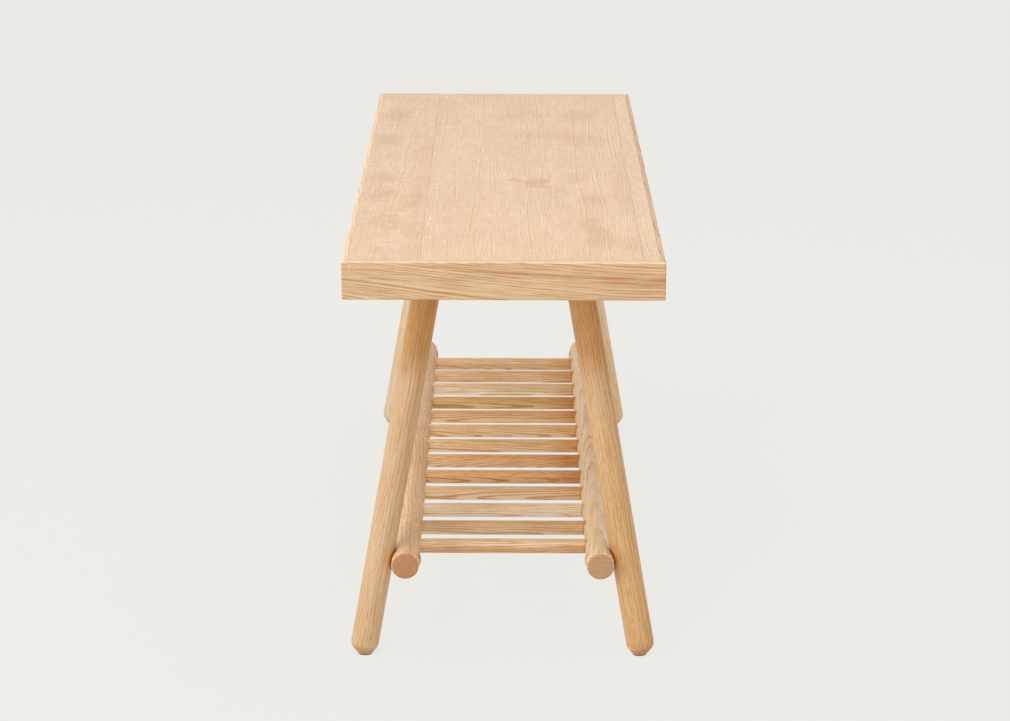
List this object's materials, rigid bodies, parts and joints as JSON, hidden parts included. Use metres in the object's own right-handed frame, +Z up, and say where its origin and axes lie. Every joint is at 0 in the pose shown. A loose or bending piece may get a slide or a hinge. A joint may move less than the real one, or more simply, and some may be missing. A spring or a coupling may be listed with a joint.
{
  "type": "slatted bench",
  "caption": "Low oak bench with a thick lipped rectangular seat on splayed round legs, and a low shelf of round slats between two round rails.",
  "frame": {"origin": "on the floor, under the middle of the seat", "axes": "+X across the bench to its right, +Y along its length to the back end, +Z up; the front end is -Y"},
  "size_m": [0.336, 1, 0.45],
  "materials": {
    "seat_oak": "clear matt oil on planed oak",
    "lipping_oak": "clear matt oil on planed oak",
    "core_wood": "raw sanded core board",
    "leg_oak": "clear matt oil on turned oak",
    "rail_oak": "clear matt oil on turned oak",
    "slat_oak": "clear matt oil on turned oak",
    "plug_oak": "clear matt oil, end grain",
    "zinc_steel": "zinc plated",
    "dark_nylon": "moulded, matt"
  },
  "bodies": {
    "root": {"top_leaf_left": "seat_oak", "top_leaf_centre": "seat_oak", "top_leaf_right": "seat_oak", "underside_sheet": "seat_oak", "lipping_front": "lipping_oak", "lipping_back": "lipping_oak", "lipping_left": "lipping_oak", "lipping_right": "lipping_oak", "core_board": "core_wood", "leg_front_left": "leg_oak", "leg_front_right": "leg_oak", "leg_back_left": "leg_oak", "leg_back_right": "leg_oak", "rail_left": "rail_oak", "rail_right": "rail_oak", "slat_01": "slat_oak", "slat_02": "slat_oak", "slat_03": "slat_oak", "slat_04": "slat_oak", "slat_05": "slat_oak", "slat_06": "slat_oak", "slat_07": "slat_oak", "slat_08": "slat_oak", "slat_09": "slat_oak", "slat_10": "slat_oak", "slat_11": "slat_oak", "slat_12": "slat_oak", "slat_13": "slat_oak", "rail_plug_front_left": "plug_oak", "rail_plug_front_right": "plug_oak", "rail_plug_back_left": "plug_oak", "rail_plug_back_right": "plug_oak", "leg_studs": "zinc_steel", "seat_inserts": "zinc_steel", "rail_bolts": "zinc_steel", "leg_inserts": "zinc_steel", "glide_front_left": "dark_nylon", "glide_front_right": "dark_nylon", "glide_back_left": "dark_nylon", "glide_back_right": "dark_nylon"}
  },
  "joints": []
}
